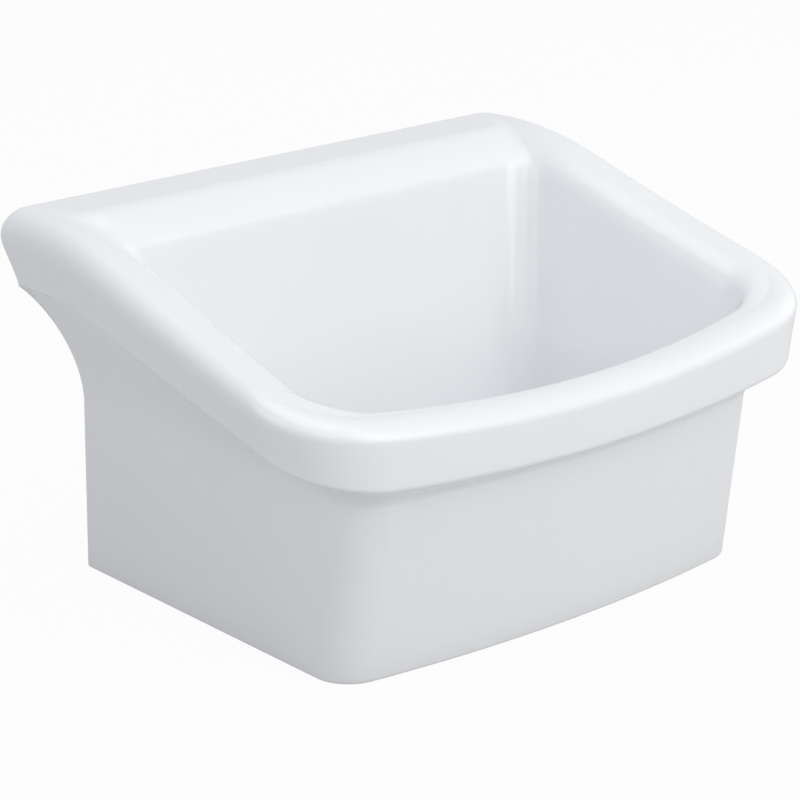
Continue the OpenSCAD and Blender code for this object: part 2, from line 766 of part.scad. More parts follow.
module hanger_right() {
    bracket(hanger_x);
}

module hanger_cushion_left() {
    cushion(-hanger_x);
}

module hanger_cushion_right() {
    cushion(hanger_x);
}

// ---- sleeves that guide the lower fixing screws through the china ----
module fixing_sleeve(x) {
    color(nylon_colour)
        translate([x, 0, fixing_z])
            rotate([90, 0, 0])
                difference() {
                    union() {
                        translate([0, 0, side_gap])
                            cylinder(r = sleeve_r, h = back_wall_t - side_gap);
                        translate([0, 0, back_wall_t])
                            cylinder(r = sleeve_flange_r, h = sleeve_flange_t);
                    }
                    cylinder(r = sleeve_hole_r, h = back_wall_t + sleeve_flange_t + past);
                }
}

module fixing_sleeve_left() {
    fixing_sleeve(-fixing_spacing / 2);
}

module fixing_sleeve_right() {
    fixing_sleeve(fixing_spacing / 2);
}

// ---- all pieces in their places, with the origin under the middle ----
module placed() {
    translate([0, depth / 2, 0])
        children();
}

placed() basin();
placed() waste_body();
placed() flange_seal();
placed() under_gasket();
placed() slip_washer();
placed() locking_nut();
placed() strainer_basket();
placed() strainer_knob();
placed() knob_rivet();
placed() hanger_left();
placed() hanger_right();
placed() hanger_cushion_left();
placed() hanger_cushion_right();
placed() fixing_sleeve_left();
placed() fixing_sleeve_right();
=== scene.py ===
# A mop service sink of white glazed china, seen from its front left corner and a little from above.
# The camera stands where the photograph was taken from; lengths in this file are in millimetres
# until they are placed, and distances called y run from the wall towards the user as negative.
import math

import bpy
import bmesh
from mathutils import Matrix, Vector


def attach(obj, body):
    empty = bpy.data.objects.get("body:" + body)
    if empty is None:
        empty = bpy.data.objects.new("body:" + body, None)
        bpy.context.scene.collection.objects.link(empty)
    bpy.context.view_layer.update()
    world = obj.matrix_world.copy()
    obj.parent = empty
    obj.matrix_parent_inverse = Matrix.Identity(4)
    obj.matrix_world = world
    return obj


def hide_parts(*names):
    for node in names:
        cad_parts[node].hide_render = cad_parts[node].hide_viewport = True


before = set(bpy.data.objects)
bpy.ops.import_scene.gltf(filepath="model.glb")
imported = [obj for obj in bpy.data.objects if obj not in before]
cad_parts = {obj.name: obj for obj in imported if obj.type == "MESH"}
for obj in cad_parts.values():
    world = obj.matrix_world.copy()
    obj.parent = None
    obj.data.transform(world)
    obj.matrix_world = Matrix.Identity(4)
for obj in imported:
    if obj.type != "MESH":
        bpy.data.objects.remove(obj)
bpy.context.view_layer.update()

MM = 0.001
WALL = 198.5  # the wall's plane in the model's frame
view_azimuth = math.radians(-41.625)
view_elevation = math.radians(17.549)
view_roll = math.radians(-0.8)
view_distance = 2370.3
view_target = Vector((-12.3, -180.0, 141.9))
sensor_width, focal_pixels, picture_pixels = 36.0, 3014.5, 800.0

backwards = Vector((
    math.sin(view_azimuth) * math.cos(view_elevation),
    -math.cos(view_azimuth) * math.cos(view_elevation),
    math.sin(view_elevation),
))
level_right = Vector((math.cos(view_azimuth), math.sin(view_azimuth), 0.0))
level_up = backwards.cross(level_right)
right = level_right * math.cos(view_roll) + level_up * math.sin(view_roll)
up = level_up * math.cos(view_roll) - level_right * math.sin(view_roll)
eye = (view_target + backwards * view_distance + Vector((0, WALL, 0))) * MM

bpy.ops.object.select_all(action="DESELECT")
bpy.ops.object.camera_add()
camera = bpy.context.object
camera.name = "camera"
camera.data.sensor_width = sensor_width
camera.data.lens = sensor_width * focal_pixels / picture_pixels
camera.data.clip_end = 50.0
camera.matrix_world = Matrix((
    (right.x, up.x, backwards.x, eye.x),
    (right.y, up.y, backwards.y, eye.y),
    (right.z, up.z, backwards.z, eye.z),
    (0, 0, 0, 1),
))
bpy.context.scene.camera = camera


# ---------------------------------------------------------------------------------------------
# Basin. Foot, body, bowl, rim and ledge are one piece of vitreous china, cast in a plaster mould
# and glazed white but for the wall side and the underside, which stay bare biscuit. Its skin is
# one net of rings, up the body, over the rim and down the bowl; the hollows are then cut out.

width, depth, height = 518.6, 397.0, 307.0
# the lip and the highest line of the rim, seen from above
lip_taper, lip_bow, lip_corner_r, crown_corner_r = 28.0, 22.0, 70.0, 60.0
side_crown_in, front_crown_in = 1.0, 26.0
# their heights: both slope down to the front, rise at its corners and level out at the back
lip_front_z, lip_back_z, lip_slope, lip_corner_rise, lip_level_r = 153.0, 244.0, 0.277, 6.0, 8.0
rim_front_z, rim_slope, rim_corner_rise, rim_level_r = 200.7, 0.331, 12.8, 18.0
corner_rise_from = 60.0
# the rim's section: rounded lower edge, flat face, shoulder, and its fall to the bowl's edge
lip_r, side_face_lean = 4.5, 0.34
side_face_part, front_face_part = 0.58, 0.70
side_round, front_round, back_round = 0.607, 0.562, 0.552
side_rim_w, front_rim_w = 37.0, 32.5
side_fall, front_fall = 17.0, 4.5
top_across, top_down = (0, 0.45, 0.85, 1), (0, 0, 0.30, 1)
ledge_depth, ledge_slope, ledge_level_r = 56.0, math.tan(math.radians(28.0)), 4.0
back_edge_r = 6.0
# foot and body, and the cove that flares out from the body to the lip
foot_width, foot_taper, foot_depth, foot_bow = 422.7, 38.8, 352.0, 18.0
foot_corner_r, foot_edge_r = 31.0, 3.0
front_lean, side_lean, cove_start_z, back_corner_r = 0.164, 0.025, 140.0, 3.0
cove_out, cove_rise = (0, 0, 0.55, 1), (0, 0.35, 0.80, 1)
# the bowl; its edge is rounder at the back, and the rounding begins at a share of the rim's top
bowl_back_y, bowl_back_mid_y = 87.0, 117.0
bowl_edge_r, bowl_edge_from, back_bowl_edge_r, back_bowl_edge_from = 6.0, 0.85, 12.0, 0.72
bowl_corner_r, bowl_back_corner_r = 39.0, 24.0
floor_width, floor_taper, floor_back_y, floor_front_y = 380.0, 30.0, 127.0, 342.0
floor_r, floor_z, floor_fall = 22.0, 54.0, 5.0
wall_t, back_wall_t, hollow_h, hollow_r, foot_break = 11.0, 18.0, 40.0, 8.0, 1.5
# the place of the waste, and the recess for its flange
waste_y, waste_hole_r, flange_r, flange_t, seal_t = 236.0, 32.5, 45.0, 4.0, 1.5
seat_r, recess_gap, waste_hole_break = 58.0, 1.0, 0.8

# points along half an outline: back, back corner, side, front corner, front
stretches = (22, 12, 56, 34, 34)
half_count = sum(stretches)
around = 2 * half_count


def soft_min(a, b, k):
    """The lesser of two heights, with a soft bend of size k where they cross."""
    return min(a, b) - max(k - abs(a - b), 0.0) ** 2 / (4 * k)


def curve(p, t):
    """A smooth curve from p[0] to p[3] that leaves towards p[1] and arrives from p[2]."""
    s = 1 - t
    return s ** 3 * p[0] + 3 * s * s * t * p[1] + 3 * s * t * t * p[2] + t ** 3 * p[3]


def outline(half_back, half_front, back, front, r_back, r_front, bow):
    """A closed outline from above: straight back, tapering sides, bowed front, round corners."""
    back_n, back_corner_n, side_n, front_corner_n, front_n = stretches
    big_r = (half_front ** 2 + bow ** 2) / (2 * bow)
    arc = Vector((0, big_r - front))
    along = Vector((half_back - half_front, bow - front + back)).normalized()
    inward = Vector((-along.y, along.x))
    start = Vector((-half_back, -back))
    base_back = start + inward * r_back
    centre_back = base_back + along * ((-back - r_back - base_back.y) / along.y)
    base_front = start + inward * r_front
    rel = base_front - arc
    proj = rel.dot(along)
    reach = math.sqrt(max(proj ** 2 - rel.dot(rel) + (big_r - r_front) ** 2, 0)) - proj
    centre_front = base_front + along * reach
    side_turn = math.atan2(-inward.y, -inward.x) % (2 * math.pi)
    side_from = centre_back - inward * r_back
    side_to = centre_front - inward * r_front
    off = centre_front - arc
    meet = math.atan2(off.y, off.x) % (2 * math.pi)
    half = [Vector((centre_back.x * i / back_n, -back)) for i in range(back_n)]
    for i in range(back_corner_n):
        a = math.pi / 2 + (side_turn - math.pi / 2) * i / back_corner_n
        half.append(centre_back + r_back * Vector((math.cos(a), math.sin(a))))
    half += [side_from.lerp(side_to, i / side_n) for i in range(side_n)]
    for i in range(front_corner_n):
        a = side_turn + (meet - side_turn) * i / front_corner_n
        half.append(centre_front + r_front * Vector((math.cos(a), math.sin(a))))
    for i in range(front_n + 1):
        a = meet + (1.5 * math.pi - meet) * i / front_n
        half.append(arc + big_r * Vector((math.cos(a), math.sin(a))))
    return half + [Vector((-p.x, p.y)) for p in half[-2:0:-1]]


def facing(i):
    """Which way an outline's point faces: 90 the wall, 0 a side, -90 the front."""
    back_n, back_corner_n, side_n, front_corner_n, front_n = stretches
    i = i if i <= half_count else around - i
    if i < back_n:
        return 90.0
    if i < back_n + back_corner_n:
        return 90.0 - 90.0 * (i - back_n) / back_corner_n
    if i < back_n + back_corner_n + side_n:
        return 0.0
    if i < half_count - front_n:
        return -90.0 * (i - back_n - back_corner_n - side_n) / front_corner_n
    return -90.0


turn = [math.radians(facing(i)) for i in range(around)]
back_share = [math.sin(a) ** 2 if a > 0 else 0.0 for a in turn]
front_share = [math.sin(a) ** 2 if a < 0 else 0.0 for a in turn]
side_share = [math.cos(a) ** 2 for a in turn]


def blend(i, side, front, back):
    """A value at an outline's point, mixed by how far it faces the side, the front and back."""
    return side_share[i] * side + front_share[i] * front + back_share[i] * back


def corner_share(x, y):
    forward = min(max((-y - corner_rise_from) / (depth - corner_rise_from), 0), 1)
    return (x / half_lip_back) ** 2 * forward ** 2


def lip_height(x, y):
    return soft_min(lip_front_z + lip_slope * (y + depth) + lip_corner_rise * corner_share(x, y),
                    lip_back_z, lip_level_r)


def rim_height(x, y):
    return soft_min(rim_front_z + rim_slope * (y + depth) + rim_corner_rise * corner_share(x, y),
                    height, rim_level_r)


def rim_over(i, y):
    """The rim's height over a point inside the lip; towards the front it follows the lip's own."""
    return rim_height(lip[i].x, y + (lip[i].y - y) * front_share[i])


def ledge_height(d):
    return height + soft_min((ledge_depth - d) * ledge_slope, 0.0, ledge_level_r)


def body_outline(z, inset, back=0.0):
    return outline(half_foot_back - side_lean * z - inset, half_foot_front - side_lean * z - inset,
                   back, foot_depth + front_lean * z - inset, back_corner_r,
                   foot_corner_r - inset / 2, foot_bow)


def floor_outline(inset):
    back_half = (floor_width - floor_taper) / 2 + floor_taper / 2 * floor_back_y / foot_depth
    return outline(back_half - inset, floor_width / 2 - inset,
                   floor_back_y + inset, floor_front_y - inset,
                   bowl_back_corner_r, foot_corner_r + wall_t - inset / 2, foot_bow)


def level(points, z):
    return [(p.x, p.y, z) for p in points]


half_lip_front, half_lip_back = width / 2, (width - lip_taper) / 2
half_foot_front, half_foot_back = foot_width / 2, (foot_width - foot_taper) / 2
lip = outline(half_lip_back, half_lip_front, 0, depth, back_corner_r, lip_corner_r, lip_bow)
lip_out = []
for i in range(around):
    t = lip[(i + 1) % around] - lip[i - 1]
    n = Vector((t.y, -t.x)).normalized()
    lip_out.append(Vector((n.x, 0)) if turn[i] > 0 else n)
low = [lip_height(p.x, p.y) for p in lip]
high = [rim_height(p.x, p.y) for p in lip]
crown = outline(half_lip_back - side_crown_in, half_lip_front - side_crown_in, back_edge_r,
                depth - front_crown_in, back_corner_r + back_edge_r, crown_corner_r, lip_bow)
mouth = outline(half_lip_back - side_rim_w + lip_taper / 2 / depth * bowl_back_y,
                half_lip_front - side_rim_w, bowl_back_y, depth - front_rim_w,
                bowl_back_corner_r, bowl_corner_r, lip_bow)


def under_lip(i, inset):
    """A point of the lip drawn in by an inset; the wall side keeps its plane."""
    return lip[i] - lip_out[i] * inset * (1 - back_share[i])


rings = []
# foot edge, body wall, then the cove that flares out to the lip
for step in range(5):
    a = math.radians(90 * step / 4)
    rise, inset = foot_edge_r * (1 - math.cos(a)), foot_edge_r * (1 - math.sin(a))
    rings.append(level(body_outline(rise, inset), rise))
for step in range(1, 9):
    z = foot_edge_r + (cove_start_z - foot_edge_r) * step / 8
    rings.append(level(body_outline(z, 0), z))
cove_from = body_outline(cove_start_z, 0)
for step in range(1, 25):
    out, rise = curve(cove_out, step / 24), curve(cove_rise, step / 24)
    ring = []
    for i in range(around):
        p = cove_from[i].lerp(under_lip(i, lip_r), out)
        ring.append((p.x, p.y, cove_start_z + (low[i] - cove_start_z) * rise))
    rings.append(ring)
# the lip's rounded lower edge and the flat face over it
for step in range(1, 9):
    a = math.radians(90 * step / 8)
    ring = []
    for i in range(around):
        p = under_lip(i, lip_r * (1 - math.sin(a)))
        ring.append((p.x, p.y, low[i] + lip_r * (1 - math.cos(a))))
    rings.append(ring)


def rim_section(i):
    """Height of the rim, of its flat face and the face's outward swell at a point of the lip."""
    h = high[i] - low[i]
    face = blend(i, side_face_part * h, front_face_part * h, h - back_edge_r)
    lean = blend(i, side_face_lean, 0, 0)
    return h, face, lean


for step in range(1, 4):
    ring = []
    for i in range(around):
        h, face, lean = rim_section(i)
        up_to = lip_r + (face - lip_r) * step / 4
        p = lip[i] + lip_out[i] * lean * face * step / 4
        ring.append((p.x, p.y, low[i] + up_to))
    rings.append(ring)
# the rounded shoulder up to the highest line, tilted a little with the rim's slope
for step in range(21):
    t = step / 20
    ring = []
    for i in range(around):
        h, face, lean = rim_section(i)
        full = blend(i, side_round, front_round, back_round)
        swell = lean * face
        out = curve((swell, swell + full * (h - face) * lean, full * swell, 0), t)
        p = lip[i] + lip_out[i] * out + (crown[i] - lip[i]) * curve((0, 0, 1 - full, 1), t)
        tilt = (rim_over(i, p.y) - rim_over(i, crown[i].y)) * t
        ring.append((p.x, p.y, low[i] + curve((face, face + full * (h - face), h, h), t) + tilt))
    rings.append(ring)


def top_point(i, t):
    """A point of the rim's top, from its highest line at 0 to the bowl's sharp edge at 1."""
    across, down = curve(top_across, t), curve(top_down, t)
    p = crown[i].lerp(mouth[i], blend(i, across, across, t))
    top = high[i] + rim_over(i, p.y) - rim_over(i, crown[i].y)
    return Vector((p.x, p.y, blend(i, top - side_fall * down, top - front_fall * down,
                                   ledge_height(-p.y))))


# from the highest line down to the edge of the bowl; at the back the level ledge and its slope
edge_from = [blend(i, bowl_edge_from, bowl_edge_from, back_bowl_edge_from) for i in range(around)]
edge_r = [blend(i, bowl_edge_r, bowl_edge_r, back_bowl_edge_r) for i in range(around)]
for step in range(1, 31):
    rings.append([tuple(top_point(i, edge_from[i] * step / 30)) for i in range(around)])
# the bowl's wall, drawn in towards the floor
bowl_mid = level(outline(half_foot_back - side_lean * cove_start_z - wall_t
                         + foot_taper / 2 * bowl_back_mid_y / foot_depth,
                         half_foot_front - side_lean * cove_start_z - wall_t, bowl_back_mid_y,
                         foot_depth + front_lean * cove_start_z - 2 * wall_t,
                         bowl_back_corner_r, foot_corner_r + wall_t, foot_bow), cove_start_z)
bowl_low = level(floor_outline(0), floor_z + floor_fall + floor_r)
sharp_edge = [top_point(i, 1.0) for i in range(around)]
under_edge = [p + (Vector(q) - p).normalized() * r
              for p, q, r in zip(sharp_edge, bowl_mid, edge_r)]
for step in range(1, 9):
    t = step / 8
    rings.append([tuple(top_point(i, edge_from[i]) * (1 - t) ** 2
                        + sharp_edge[i] * 2 * t * (1 - t) + under_edge[i] * t * t)
                  for i in range(around)])
for step in range(1, 25):
    t = step / 24
    ring = []
    for i in range(around):
        a, b, c = under_edge[i], Vector(bowl_mid[i]), Vector(bowl_low[i])
        s = t * (a.z - c.z) / (a.z - b.z)
        straight = a.lerp(b, s) if s < 1 else b.lerp(c, (s - 1) / ((b.z - c.z) / (a.z - b.z)))
        ring.append(tuple(straight))
    rings.append(ring)
for step in range(1, 11):
    a = math.radians(90 * step / 10)
    rings.append(level(floor_outline(floor_r * (1 - math.cos(a))),
                       floor_z + floor_fall + floor_r * (1 - math.sin(a))))
# the floor falls to a level ring round the waste, then the recess, the hole and the underside
waste_middle = Vector((0, -waste_y))
floor_end = floor_outline(floor_r)


def round_waste(r):
    return [waste_middle + (p - waste_middle).normalized() * r for p in floor_end]


for step in range(1, 11):
    t = step / 10
    soft = t * t * (3 - 2 * t)
    rings.append([(p.lerp(q, t).x, p.lerp(q, t).y, floor_z + floor_fall * (1 - soft))
                  for p, q in zip(floor_end, round_waste(seat_r))])
recess_z = floor_z - flange_t - seal_t
recess_r = flange_r + recess_gap
for r, z in ((recess_r + 1, floor_z), (recess_r + 0.3, floor_z - 0.3), (recess_r, floor_z - 1),
             (recess_r, recess_z), (waste_hole_r + waste_hole_break, recess_z),
             (waste_hole_r, recess_z - waste_hole_break), (waste_hole_r, hollow_h)):
    rings.append(level(round_waste(r), z))
# the glaze ends with the last ring in the hole
bare_from = len(rings) - 1


def hollow_outline(inset):
    return outline(half_foot_back - wall_t - 1 - inset, half_foot_front - wall_t - 1 - inset,
                   back_wall_t + inset, foot_depth - wall_t - inset, back_corner_r + 3,
                   foot_corner_r - wall_t / 2, foot_bow)


for step in range(1, 7):
    t = step / 7
    rings.append([(p.lerp(q, t).x, p.lerp(q, t).y, hollow_h)
                  for p, q in zip(round_waste(waste_hole_r), hollow_outline(hollow_r))])
for step in range(6):
    a = math.radians(90 * step / 5)
    rings.append(level(hollow_outline(hollow_r * (1 - math.sin(a))),
                       hollow_h - hollow_r * (1 - math.cos(a))))
rings.append(level(hollow_outline(0), foot_break))
rings.append(level(hollow_outline(-foot_break), 0.0))

# the net starts as a plain grid with one row of points for each ring
ring_count = len(rings)
bpy.ops.object.select_all(action="DESELECT")
bpy.ops.mesh.primitive_grid_add(x_subdivisions=around, y_subdivisions=ring_count, size=1.0)
basin = bpy.context.object
basin.name = "basin_china"
for vertex in basin.data.vertices:
    j, i = divmod(vertex.index, around + 1)
    i, j = i % around, j % ring_count
    x, y, z = rings[j][i]
    vertex.co = Vector((x, y + WALL, z)) * MM


class Value:
    """A number that changes over a surface, for shader maths written as plain expressions."""

    def __init__(self, maker, socket):
        self.maker, self.socket = maker, socket

    def maths(self, operation, *others, first=None):
        parts = [self] + list(others) if first is None else [first, self]
        return self.maker.node("ShaderNodeMath", {"operation": operation}, dict(enumerate(parts)))

    def __add__(self, other):
        return self.maths("ADD", other)

    def __radd__(self, other):
        return self.maths("ADD", first=other)

    def __mul__(self, other):
        return self.maths("MULTIPLY", other)

    def __rmul__(self, other):
        return self.maths("MULTIPLY", first=other)


class Finish:
    """A material whose nodes are added one at a time."""

    def __init__(self, name):
        self.material = bpy.data.materials.new(name)
        self.material.use_nodes = True
        self.tree = self.material.node_tree
        self.shader = self.tree.nodes["Principled BSDF"]
        self.place = self.node("ShaderNodeTexCoord", {}, {}, "Object")

    def node(self, kind, settings, inputs, output=0):
        node = self.tree.nodes.new(kind)
        for key, value in settings.items():
            setattr(node, key, value)
        for key, value in inputs.items():
            self.feed(node.inputs[key], value)
        return Value(self, node.outputs[output])

    def feed(self, socket, value):
        if isinstance(value, Value):
            self.tree.links.new(value.socket, socket)
        else:
            socket.default_value = value

    def set(self, **values):
        for key, value in values.items():
            self.feed(self.shader.inputs[key.replace("_", " ")], value)

    def noise(self, scale, detail=3.0, roughness=0.5):
        return self.node("ShaderNodeTexNoise", {}, {
            "Vector": self.place, "Scale": scale, "Detail": detail, "Roughness": roughness})

    def mix(self, factor, a, b):
        return self.node("ShaderNodeMix", {"data_type": "RGBA"}, {0: factor, 6: a, 7: b}, 2)

    def bump(self, height, strength, distance):
        return self.node("ShaderNodeBump", {}, {
            "Height": height, "Strength": strength, "Distance": distance})


# white glaze: a hair's unevenness in the colour, a faint ripple where the glaze flowed
glaze = Finish("glazed_china")
cloudy = glaze.noise(9.0, 2.0)
glaze.set(
    Base_Color=glaze.mix(cloudy, (0.850, 0.858, 0.872, 1), (0.872, 0.880, 0.890, 1)),
    Roughness=0.205 + glaze.noise(30.0, 2.0) * 0.06,
    Normal=glaze.bump(glaze.noise(42.0, 2.0) + glaze.noise(260.0, 2.0) * 0.12, 0.05, 0.004),
)
glaze.shader.inputs["IOR"].default_value = 1.5
# bare biscuit: warmer, dull and finely pitted
biscuit = Finish("bare_china")
grain = biscuit.noise(900.0, 4.0, 0.7)
biscuit.set(
    Base_Color=biscuit.mix(biscuit.noise(14.0, 4.0),
                           (0.66, 0.64, 0.60, 1), (0.74, 0.72, 0.68, 1)),
    Roughness=0.78 + grain * 0.15,
    Normal=biscuit.bump(grain, 0.35, 0.0006),
)
basin.data.materials.clear()
basin.data.materials.append(glaze.material)
basin.data.materials.append(biscuit.material)
# the underside and the wall side stay bare
for face in basin.data.polygons:
    row = min(index // (around + 1) for index in face.vertices)
    against_wall = face.center.y > (WALL - 0.05) * MM
    face.material_index = 1 if row >= bare_from or against_wall else 0
bpy.ops.object.mode_set(mode="EDIT")
bpy.ops.mesh.select_all(action="SELECT")
bpy.ops.mesh.remove_doubles(threshold=0.00001)
bpy.ops.mesh.normals_make_consistent(inside=False)
bpy.ops.object.mode_set(mode="OBJECT")


def prism(name, points, plane, start, length):
    """A straight block whose outline lies in the XZ or the YZ plane."""
    bpy.ops.object.select_all(action="DESELECT")
    bpy.ops.mesh.primitive_circle_add(vertices=len(points), radius=1.0, fill_type="NGON")
    block = bpy.context.object
    block.name = name
    for vertex, (a, z) in zip(block.data.vertices, points):
        place = (a, start + WALL, z) if plane == "XZ" else (start, a + WALL, z)
        vertex.co = Vector(place) * MM
    move = (0, length * MM, 0) if plane == "XZ" else (length * MM, 0, 0)
    bpy.ops.object.mode_set(mode="EDIT")
    bpy.ops.mesh.select_all(action="SELECT")
    bpy.ops.mesh.extrude_region_move(TRANSFORM_OT_translate={"value": move})
    bpy.ops.mesh.select_all(action="SELECT")
    bpy.ops.mesh.normals_make_consistent(inside=False)
    bpy.ops.object.mode_set(mode="OBJECT")
    return block


def rod(sides, radius, length, place, turned_by=(0, 0, 0)):
    """A straight rod with its middle at a place in the model's frame."""
    bpy.ops.object.select_all(action="DESELECT")
    bpy.ops.mesh.primitive_cylinder_add(
        vertices=sides, radius=radius * MM, depth=length * MM,
        location=[c * MM for c in place], rotation=turned_by)
    bpy.ops.object.transform_apply(location=True, rotation=True, scale=True)
    return bpy.context.object


def cut_with(piece, cutter, operation="DIFFERENCE"):
    """Cuts one closed piece with another, whose material its cut faces take over."""
    modifier = piece.modifiers.new("cut", "BOOLEAN")
    modifier.operation = operation
    modifier.solver = "EXACT"
    modifier.object = cutter
    modifier.material_mode = "TRANSFER"
    bpy.ops.object.select_all(action="DESELECT")
    bpy.context.view_layer.objects.active = piece
    piece.select_set(True)
    bpy.ops.object.modifier_apply(modifier="cut")
    bpy.data.objects.remove(cutter)


# the hollow behind the bowl
ledge_under = height - wall_t
chamber_low = half_foot_back - side_lean * height - wall_t
chamber_high = half_lip_back - wall_t
flare = half_lip_back - lip_r - half_foot_back + side_lean * cove_start_z
# cutters reach a little past the china
past = 1.0
side_points = [(chamber_low, -past)]
for step in range(13):
    out, rise = curve(cove_out, step / 12), curve(cove_rise, step / 12)
    side_points.append((chamber_low + flare * out,
                        cove_start_z + wall_t + (lip_back_z - cove_start_z) * rise))
side_points += [(chamber_high, lip_back_z + 2 * wall_t), (chamber_high, ledge_under)]
chamber = prism("chamber", side_points + [(-x, z) for x, z in side_points[::-1]], "XZ",
                -floor_back_y, floor_back_y)
section = [(back_wall_t, -past), (back_wall_t, ledge_under),
           (ledge_depth - wall_t / 2, ledge_under),
           (bowl_back_y - wall_t, ledge_under - (bowl_back_y - ledge_depth) * ledge_slope),
           (bowl_back_y - wall_t, ledge_under - (bowl_back_y - ledge_depth)),
           (bowl_back_mid_y - wall_t, cove_start_z),
           (floor_back_y - wall_t, floor_z + floor_fall + floor_r), (floor_back_y - wall_t, -past)]
cut_with(chamber, prism("chamber_side", [(-d, z) for d, z in section], "YZ", -300.0, 600.0),
         "INTERSECT")
chamber.data.materials.append(biscuit.material)
cut_with(basin, chamber)
# the recesses for the brackets with the ways through for their arms
hanger_x, hanger_w, hanger_h, hanger_z, hanger_gap = 130.0, 48.0, 62.0, 188.0, 4.0
recess_depth, seat_height = 8.0, 193.5
recess_points = [(past, hanger_z - hanger_gap), (past, hanger_z + hanger_h + hanger_gap),
                 (-recess_depth, hanger_z + hanger_h + hanger_gap), (-recess_depth, seat_height),
                 (-back_wall_t - past, seat_height), (-back_wall_t - past, hanger_z - hanger_gap)]
for x in (-hanger_x, hanger_x):
    recess = prism("recess", recess_points, "YZ", x - hanger_w / 2 - hanger_gap,
                   hanger_w + 2 * hanger_gap)
    recess.data.materials.append(biscuit.material)
    cut_with(basin, recess)
# the holes for the lower fixings
fixing_x, fixing_z, sleeve_r, fit_gap = 130.0, 105.0, 8.0, 0.05
for x in (-fixing_x, fixing_x):
    hole = rod(64, sleeve_r + fit_gap, back_wall_t + 2 * past,
               (x, WALL - back_wall_t / 2, fixing_z), (math.pi / 2, 0, 0))
    hole.data.materials.append(biscuit.material)
    cut_with(basin, hole)
bpy.ops.object.select_all(action="DESELECT")
basin.select_set(True)
bpy.context.view_layer.objects.active = basin
bpy.ops.object.shade_smooth_by_angle(angle=math.radians(38))
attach(basin, "sink")
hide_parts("basin")


# ---------------------------------------------------------------------------------------------
# Waste body. A turned brass tail with a wide flange, chromium plated, that stands in the floor's
# hole. Its flange lies in the recess, its threads carry the nut, and its plain end takes the trap.
flange_z = floor_z - flange_t
waste_r, waste_bore_r, spigot_r, spigot_l, spigot_z = 29.5, 25.0, 28.0, 15.0, 3.0
dish_depth, strainer_rim_r, side_gap = 1.2, 36.0, 0.3
thread_pitch, thread_depth = 2.31, 0.8
waste_axis_y = WALL - waste_y


def turned(name, profile, steps=96, solid_core=False):
    """A turned piece round the waste's axis, from its outline of radius and height.

    With a solid core the outline starts and ends on the axis, otherwise it is a closed loop.
    """
    bpy.ops.object.select_all(action="DESELECT")
    bpy.ops.mesh.primitive_circle_add(vertices=len(profile), radius=1.0, fill_type="NOTHING")
    piece = bpy.context.object
    piece.name = name
    for vertex, (r, z) in zip(piece.data.vertices, profile):
        vertex.co = Vector((r, waste_axis_y, z)) * MM
    bpy.ops.object.mode_set(mode="EDIT")
    if solid_core:
        bpy.ops.mesh.select_all(action="DESELECT")
        mesh = bmesh.from_edit_mesh(piece.data)
        mesh.verts.ensure_lookup_table()
        mesh.edges.get((mesh.verts[0], mesh.verts[len(profile) - 1])).select_set(True)
        bmesh.update_edit_mesh(piece.data)
        bpy.ops.mesh.delete(type="EDGE_FACE")
    bpy.ops.mesh.select_all(action="SELECT")
    bpy.ops.mesh.spin(steps=steps, angle=2 * math.pi, axis=(0, 0, 1),
                      center=(0, waste_axis_y * MM, 0))
    bpy.ops.mesh.select_all(action="SELECT")
    bpy.ops.mesh.remove_doubles(threshold=0.000002)
    bpy.ops.mesh.normals_make_consistent(inside=False)
    bpy.ops.object.mode_set(mode="OBJECT")
    return piece


def finished(piece, finish, edge=0.3, segments=3, edge_angle=35.0, smooth_angle=32.0):
    """Breaks a piece's sharp edges, shades it and gives it its material."""
    bpy.ops.object.select_all(action="DESELECT")
    bpy.context.view_layer.objects.active = piece
    piece.select_set(True)
    if edge:
        bevel = piece.modifiers.new("edges", "BEVEL")
        bevel.width = edge * MM
        bevel.segments = segments
        bevel.limit_method = "ANGLE"
        bevel.angle_limit = math.radians(edge_angle)
        bpy.ops.object.modifier_apply(modifier="edges")
    bpy.ops.object.shade_smooth_by_angle(angle=math.radians(smooth_angle))
    piece.data.materials.clear()
    piece.data.materials.append(finish.material)
    return piece


# chromium plate: blue-white metal, with hair scratches and a thin film of dried water
chrome = Finish("chrome_plate")
film = chrome.noise(55.0, 5.0, 0.62)
scratches = chrome.node("ShaderNodeTexNoise", {}, {
    "Vector": chrome.node("ShaderNodeMapping", {}, {"Vector": chrome.place, "Scale": (1, 14, 1)}),
    "Scale": 260.0, "Detail": 3.0, "Roughness": 0.6})
chrome.set(
    Base_Color=chrome.mix(film, (0.62, 0.63, 0.645, 1), (0.72, 0.73, 0.74, 1)),
    Metallic=1.0,
    Roughness=0.09 + film * 0.14 + scratches * 0.05,
    Normal=chrome.bump(scratches, 0.06, 0.0003),
)
tail = [(waste_bore_r, spigot_z), (spigot_r, spigot_z), (spigot_r, spigot_z + spigot_l),
        (waste_r, spigot_z + spigot_l + waste_r - spigot_r)]
thread_z = spigot_z + spigot_l + 2 * (waste_r - spigot_r)
while thread_z < flange_z - 2 * thread_pitch:
    tail += [(waste_r, thread_z), (waste_r - thread_depth, thread_z + thread_pitch * 0.45),
             (waste_r - thread_depth, thread_z + thread_pitch * 0.55),
             (waste_r, thread_z + thread_pitch * 0.92)]
    thread_z += thread_pitch
tail += [(waste_r, flange_z), (flange_r, flange_z), (flange_r, floor_z - dish_depth),
         (flange_r - 0.35 * dish_depth, floor_z - 0.35 * dish_depth),
         (flange_r - dish_depth, floor_z), (strainer_rim_r + side_gap, floor_z),
         (strainer_rim_r + side_gap, floor_z - dish_depth), (waste_bore_r, floor_z - dish_depth)]
waste_body = finished(turned("waste_tail", tail), chrome, 0.18, 2)
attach(waste_body, "sink")
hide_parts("waste_body")


